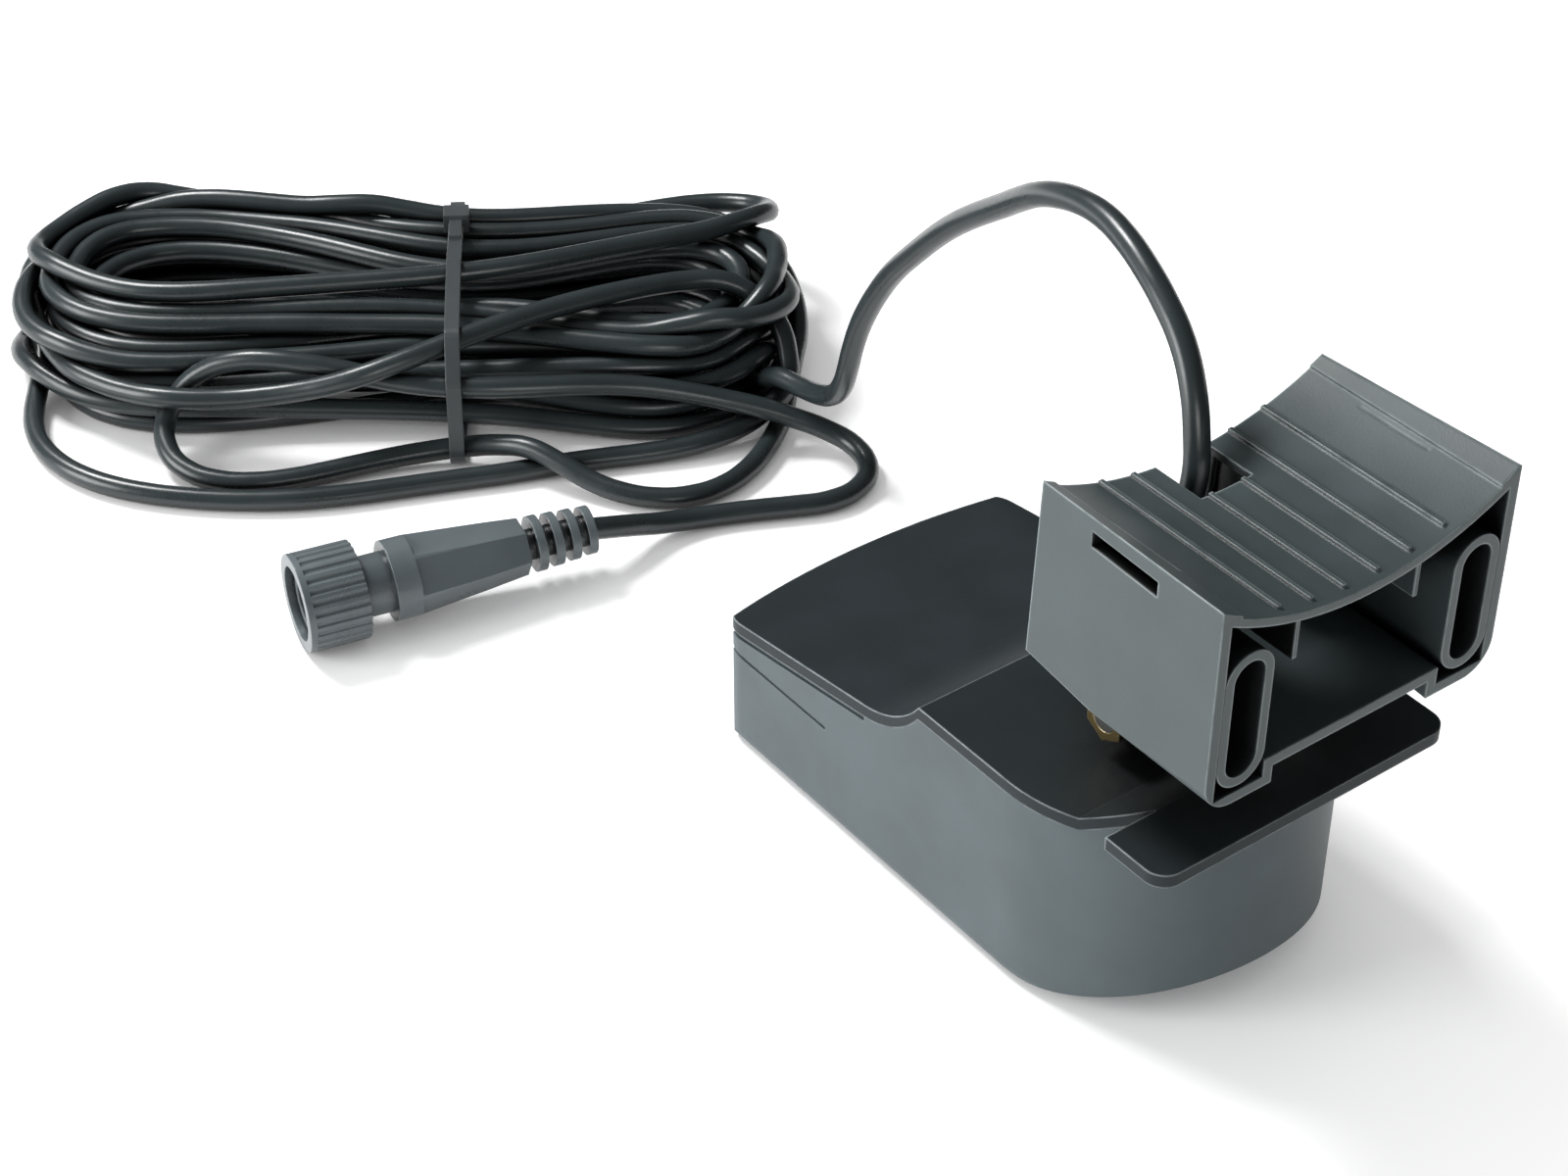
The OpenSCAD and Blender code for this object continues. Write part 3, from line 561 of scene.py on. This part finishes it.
@dataclass
class Tie:
    """Strap with its head, drawn taut round the hank. Millimetres and degrees."""

    # middle along, across and over the hank
    place: Point = (11.1, -0.5, 0.0)
    skew: float = 5.0
    # strands further to the near side than this lie outside the tie
    reach: float = 45.0
    width: float = 3.2
    thick: float = 1.1
    # points round each strand
    sides: int = 16
    # half length over which the slope under a block is taken
    slope_reach: float = 1.0
    head: Block = Block((5.6, 6.2, 4.0), 19.0, 1.1)
    free_end: Block = Block((2.8, 9.0, 1.1), 11.5, 1.6)

    def _frame(self, hank: Hank) -> Matrix:
        """Frame of the tie: along the hank, across it, and up."""
        turned = Matrix.Rotation(math.radians(hank.heading + self.skew), 4, "Z")
        return Matrix.Translation(Vector(hank.world(*self.place))) @ turned

    def _ring(self, hank: Hank, route: Sequence[Point], diameter: float) -> list[Vector]:
        """Inner side of the strap.

        Args:
            hank: The hank that it holds.
            route: Centreline of the cable, in metres.
            diameter: Diameter of the cable.

        Returns:
            Places across and up in the tie's frame, counter-clockwise.
        """
        to_tie = self._frame(hank).inverted()
        line = [to_tie @ (Vector(p) / MM) for p in route]
        around: list[Vector] = []
        for a, b in zip(line, line[1:]):
            if a.x * b.x > 0 or min(a.y, b.y) < -self.reach:
                continue
            centre = a.lerp(b, a.x / (a.x - b.x)).yz
            for k in range(self.sides):
                angle = 2 * math.pi * k / self.sides
                around.append(centre + Vector((math.cos(angle), math.sin(angle))) * diameter / 2)
        return [around[k] for k in convex_hull_2d(around)]

    @staticmethod
    def _top(ring: Sequence[Vector], across: float) -> float:
        """Height of the upper side of a ring at a place across it.

        Args:
            ring: Places across and up.
            across: The place.

        Returns:
            The height.
        """
        pairs = zip(ring, [*ring[1:], ring[0]])
        there = [(a, b) for a, b in pairs if (a.x - across) * (b.x - across) < 0]
        return max(a.lerp(b, (across - a.x) / (b.x - a.x)).y for a, b in there)

    def _strap(self, bm: bmesh.types.BMesh, ring: Sequence[Vector]) -> None:
        """Add the band, kept over the floor.

        Args:
            bm: The bmesh to add to.
            ring: Inner side of the band.
        """
        circle = bmesh.ops.create_circle(bm, cap_ends=False, segments=len(ring), radius=1.0)["verts"]
        for vert, (across, up) in zip(circle, ring):
            vert.co = (-self.width / 2, across, up)
        band = bmesh.ops.extrude_edge_only(bm, edges=bm.edges[:])["geom"]
        rim = [part for part in band if isinstance(part, bmesh.types.BMVert)]
        bmesh.ops.translate(bm, verts=rim, vec=(self.width, 0.0, 0.0))
        bmesh.ops.recalc_face_normals(bm, faces=bm.faces)
        bmesh.ops.solidify(bm, geom=bm.faces[:], thickness=-self.thick)
        for vert in bm.verts:
            vert.co.z = max(vert.co.z, 0.0)

    def _block(self, bm: bmesh.types.BMesh, ring: Sequence[Vector], block: Block) -> None:
        """Add a block that lies along the strap.

        Args:
            bm: The bmesh to add to.
            ring: Inner side of the band.
            block: The block.
        """
        step = self.slope_reach
        rise = self._top(ring, block.across + step) - self._top(ring, block.across - step)
        slope = Matrix.Rotation(math.atan2(rise, 2.0 * step), 3, "X")
        up = self._top(ring, block.across) + block.lift
        verts = bmesh.ops.create_cube(bm, size=1.0)["verts"]
        bmesh.ops.scale(bm, verts=verts, vec=block.size)
        bmesh.ops.rotate(bm, verts=verts, matrix=slope)
        bmesh.ops.translate(bm, verts=verts, vec=(0.0, block.across, up))

    def build(self, hank: Hank, route: Sequence[Point], diameter: float) -> bpy.types.Object:
        """Make the tie.

        Args:
            hank: The hank that it holds.
            route: Centreline of the cable, in metres.
            diameter: Diameter of the cable.

        Returns:
            The tie.
        """
        bm = bmesh.new()
        ring = self._ring(hank, route, diameter)
        self._strap(bm, ring)
        self._block(bm, ring, self.head)
        self._block(bm, ring, self.free_end)
        bmesh.ops.transform(bm, verts=bm.verts, matrix=Matrix.Scale(MM, 4) @ self._frame(hank))
        bmesh.ops.recalc_face_normals(bm, faces=bm.faces)
        made = piece("cable_strap", bm, TIE, Body.TRANSDUCER)
        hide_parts("cable_tie")
        return made


class Pass(NamedTuple):
    """One pass that settles the strands: distance between points, and number of rounds."""

    spacing: float
    rounds: int


@dataclass
class Cable:
    """Cable from the gland, over the arch, through the tied hank, to the plug. Millimetres."""

    diameter: float = 4.6
    hank: Hank = field(default_factory=Hank)
    tie: Tie = field(default_factory=Tie)
    arch: Sequence[Point] = (
        (2, 0, 51.6), (2, 0, 58), (5, 0, 67), (11, 0, 77), (16, 1, 87), (16.5, 1.8, 95),
        (14.5, 2.6, 103), (8.5, 5.2, 111), (-4.5, 8.8, 117.5), (-21, 13, 119.5), (-38, 16, 114.5),
        (-54.5, 19.5, 103), (-71, 22.8, 90), (-85.5, 26.2, 76), (-97.5, 29.2, 63),
        (-107.5, 31.2, 48), (-113.3, 32.5, 35), (-118, 34.2, 25), (-125, 37, 17), (-136, 38, 13),
        (-148, 39, 10.5), (-160, 40, 9))
    tail: Sequence[Point] = (
        (-152, 18, 12), (-143, 27, 9.5), (-134.5, 36, 6.5), (-127, 42, 4), (-118.5, 43.5, 2.6),
        (-112.5, 38, 2.4), (-111.5, 29.5, 2.4), (-114.5, 21, 2.4), (-119, 12, 2.4), (-123, 3, 2.4),
        (-125, -6, 3.6), (-125, -15.5, 7), (-125, -24.3, 10))
    # lengths at the start and the end that stay as given
    fixed_start: float = 230.0
    fixed_end: float = 60.0
    passes: Sequence[Pass] = (Pass(5.0, 60), Pass(2.5, 40))
    # distance of settled strands, and length of a strand that doesn't push itself, in diameters
    clear: float = 1.02
    own_length: float = 4.0
    # share of an overlap that a round clears, and the longest push
    push_share: float = 0.35
    push_most: float = 1.2
    stiffness: float = 0.06
    floor_gap: float = 0.05
    # every how many points of the settled line one is kept
    thinning: int = 3
    # steps of the drawn curve between two points, and fineness of its round section
    curve_steps: int = 4
    round_steps: int = 4
    # lengths that count as nothing
    no_gap: float = 1e-4
    rounding: float = 1e-6

    @staticmethod
    def _smooth(given: Sequence[Vector]) -> list[Vector]:
        """Fine points on a smooth line through the given ones.

        Args:
            given: Points to pass through.

        Returns:
            Points about a millimetre apart.
        """
        fine: list[Vector] = []
        for i in range(len(given) - 1):
            p0, p1, p2 = given[max(i - 1, 0)], given[i], given[i + 1]
            p3 = given[min(i + 2, len(given) - 1)]
            steps = max(2, int((p2 - p1).length))
            for k in range(steps):
                t = k / steps
                fine.append(0.5 * (2 * p1 + (p2 - p0) * t + (2 * p0 - 5 * p1 + 4 * p2 - p3) * t * t
                                   + (3 * p1 - p0 - 3 * p2 + p3) * t * t * t))
        fine.append(given[-1])
        return fine

    def _even(self, points: Sequence[Union[Point, Vector]], spacing: float) -> list[Vector]:
        """Spread points evenly along a smooth line through the given ones.

        Args:
            points: Points to pass through.
            spacing: Distance between the new points.

        Returns:
            Points about one spacing apart.
        """
        fine = self._smooth([Vector(p) for p in points])
        total = sum((b - a).length for a, b in zip(fine, fine[1:]))
        step = total / round(total / spacing)
        made, walked = [fine[0]], 0.0
        for a, b in zip(fine, fine[1:]):
            size = (b - a).length
            while walked + size >= step * len(made) - self.rounding and size > 0:
                made.append(a.lerp(b, min(1.0, (step * len(made) - walked) / size)))
            walked += size
        return made

    def _push(self, line: Sequence[Vector], i: int, tree: KDTree, own: int) -> Vector:
        """Way out of the other strands for one point.

        Args:
            line: All points.
            i: Number of the point.
            tree: The same points, to search.
            own: Number of neighbours on each side that don't count.

        Returns:
            The push on it.
        """
        clear = self.diameter * self.clear
        push = Vector((0.0, 0.0, 0.0))
        for other, k, gap in tree.find_range(line[i], clear):
            if abs(k - i) > own and gap > self.no_gap:
                push += (line[i] - other) * ((clear - gap) / gap * self.push_share)
        if push.length > self.push_most:
            push.length = self.push_most
        return push

    def _settle(self, line: list[Vector], step: Pass) -> list[Vector]:
        """Let strands that lie in each other move apart, and ease tight bends.

        Args:
            line: Points, one spacing apart.
            step: Their spacing and the number of rounds.

        Returns:
            The settled points.
        """
        n = len(line)
        first = int(self.fixed_start / step.spacing)
        last = int(self.fixed_end / step.spacing)
        own = round(self.own_length * self.diameter / step.spacing)
        for _ in range(step.rounds):
            tree = KDTree(n)
            for i, p in enumerate(line):
                tree.insert(p, i)
            tree.balance()
            moved = [p.copy() for p in line]
            for i in range(first, n - last):
                bend = 4 * (line[i - 1] + line[i + 1]) - line[i - 2] - line[i + 2] - 6 * line[i]
                moved[i] = line[i] + self._push(line, i, tree, own) + bend * self.stiffness
                moved[i].z = max(moved[i].z, self.diameter / 2 + self.floor_gap)
            line = moved
        return line

    def route(self) -> list[Point]:
        """Work out the whole centreline.

        Returns:
            Points in metres.
        """
        line = [*self.arch, *self.hank.strands(), *self.tail]
        for step in self.passes:
            line = self._settle(self._even(line, step.spacing), step)
        kept = [*line[:-1:self.thinning], line[-1]]
        return [tuple(p * MM) for p in kept]

    def _tube(self, route: Sequence[Point]) -> bpy.types.Object:
        """Draw the cable along its centreline.

        Args:
            route: Centreline in metres.

        Returns:
            The cable.
        """
        curve = bpy.data.curves.new("cable", "CURVE")
        curve.dimensions = "3D"
        curve.bevel_depth = self.diameter / 2 * MM
        curve.bevel_resolution = self.round_steps
        curve.resolution_u = self.curve_steps
        curve.use_fill_caps = True
        spline = curve.splines.new("BEZIER")
        spline.bezier_points.add(len(route) - 1)
        for point, place in zip(spline.bezier_points, route):
            point.co = place
            point.handle_left_type = point.handle_right_type = "AUTO"
        made = bpy.data.objects.new("cable", curve)
        bpy.context.scene.collection.objects.link(made)
        curve.materials.append(CABLE.material())
        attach(made, Body.TRANSDUCER.value)
        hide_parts("cable_arch", "cable_hank", "cable_tail")
        return made

    def build(self, carried: Sequence[str]) -> None:
        """Draw the cable and its tie.

        Args:
            carried: CAD nodes of the plug on its far end; not used.
        """
        route = self.route()
        made = self._tube(route)
        tie = self.tie.build(self.hank, route, self.diameter)

    def dress(self) -> None:
        """Give the CAD nodes that the cable and its tie stand for the same finishes."""
        dress(CABLE, ["cable_arch", "cable_hank", "cable_tail"])
        dress(TIE, ["cable_tie"])


class Lamp(NamedTuple):
    """Round lamp: its name, place and size in metres, and power in watts."""

    name: str
    place: Point
    size: float
    power: float


@dataclass
class Studio:
    """White floor, soft lamps and the camera. Metres and degrees."""

    eye: Point = (0.3074, -0.2975, 0.3859)
    azimuth: float = 53.32
    pitch: float = 37.47
    lens_mm: float = 72.0
    sensor_mm: float = 36.0
    clip: Span = (0.01, 50.0)
    lamps: Sequence[Lamp] = (
        Lamp("side_lamp", (-0.5, -1.1, 0.42), 0.7, 12.0),
        Lamp("front_lamp", (1.1, -0.6, 0.4), 0.6, 4.0),
        Lamp("sky_lamp", (-0.9, -0.22, 1.07), 0.4, 16.0))
    lamp_aim: Point = (-0.06, 0.0, 0.03)
    sky: float = 0.1
    floor_half: float = 20.0
    floor_drop: float = 0.0001
    floor_colour: Colour = (0.85, 0.85, 0.85)
    # glow of the floor near the object and far away, and the distances between which it changes
    near_glow: Colour = (0.64, 0.64, 0.64)
    far_glow: Colour = (1.0, 1.0, 1.0)
    glow_span: Span = (0.4, 1.0)
    # reach of the painted contact shadow where the object meets the floor
    painted_contact_shadow_reach: float = 0.07

    def camera(self) -> None:
        """Place the camera at the viewing angle of the picture."""
        data = bpy.data.cameras.new("camera")
        data.lens = self.lens_mm
        data.sensor_width = self.sensor_mm
        data.clip_start, data.clip_end = self.clip
        made = bpy.data.objects.new("camera", data)
        bpy.context.scene.collection.objects.link(made)
        a, e = math.radians(self.azimuth), math.radians(self.pitch)
        back = Vector((math.sin(a) * math.cos(e), -math.cos(a) * math.cos(e), math.sin(e)))
        made.location = self.eye
        made.rotation_mode = "QUATERNION"
        made.rotation_quaternion = (-back).to_track_quat("-Z", "Y")
        bpy.context.scene.camera = made

    def _floor_white(self) -> bpy.types.Material:
        """White that keeps the shadow and also glows for what is seen or mirrored, with a painted
        contact shadow in the glow near the object.

        Returns:
            The material of the floor.
        """
        g = Graph("floor_white")
        seen = g.node("ShaderNodeLightPath", {}, {}, "Is Camera Ray")
        seen = seen + g.node("ShaderNodeLightPath", {}, {}, "Is Glossy Ray")
        seen = seen + g.node("ShaderNodeLightPath", {}, {}, "Is Transmission Ray")
        # painted contact shadow: the glow is darker where the object is near
        near = g.node("ShaderNodeAmbientOcclusion", {"samples": PAINTED_SHADE_RAYS}, {
            "Color": rgba(self.near_glow), "Distance": self.painted_contact_shadow_reach}, "Color")
        away = g.node("ShaderNodeVectorMath", {"operation": "LENGTH"}, {0: g.place()}, "Value")
        glow = g.node("ShaderNodeEmission", {}, {
            "Color": g.mix(away.clamp(*self.glow_span), near, rgba(self.far_glow)), "Strength": 1.0})
        flat = g.node("ShaderNodeBsdfDiffuse", {}, {"Color": rgba(self.floor_colour)})
        lit = g.node("ShaderNodeAddShader", {}, {0: flat, 1: glow})
        return g.close(g.node("ShaderNodeMixShader", {}, {0: seen.clamp(0.0, 1.0), 1: flat, 2: lit}))

    def floor(self) -> None:
        """Lay the floor just under the object."""
        bm = bmesh.new()
        bmesh.ops.create_grid(bm, x_segments=1, y_segments=1, size=self.floor_half)
        bmesh.ops.translate(bm, verts=bm.verts, vec=(0.0, 0.0, -self.floor_drop))
        mesh = bpy.data.meshes.new("floor")
        bm.to_mesh(mesh)
        bm.free()
        made = bpy.data.objects.new("floor", mesh)
        bpy.context.scene.collection.objects.link(made)
        mesh.materials.append(self._floor_white())

    def light(self) -> None:
        """Hang the lamps and set the world around."""
        for lamp in self.lamps:
            data = bpy.data.lights.new(lamp.name, "AREA")
            data.shape = "DISK"
            data.size = lamp.size
            data.energy = lamp.power
            made = bpy.data.objects.new(lamp.name, data)
            bpy.context.scene.collection.objects.link(made)
            made.location = lamp.place
            made.rotation_mode = "QUATERNION"
            aim = Vector(self.lamp_aim) - Vector(lamp.place)
            made.rotation_quaternion = aim.to_track_quat("-Z", "Y")
        world = bpy.data.worlds.new("studio")
        bpy.context.scene.world = world
        world.use_nodes = True
        ground = world.node_tree.nodes["Background"]
        ground.inputs["Color"].default_value = (1.0, 1.0, 1.0, 1.0)
        ground.inputs["Strength"].default_value = self.sky

    def build(self) -> None:
        """Make the whole studio."""
        self.camera()
        self.floor()
        self.light()
        bpy.context.scene.view_settings.view_transform = "Standard"


def main() -> None:
    """Build every piece in order."""
    logging.basicConfig(level=logging.INFO, format="%(name)s: %(message)s")
    Studio().build()
    plug = Plug()
    cable = Cable()
    cable.build(plug.nodes)
    Housing().dress()
    Mounting().dress()
    plug.dress()
    cable.dress()
    bpy.context.view_layer.update()


if __name__ == "__main__":
    main()
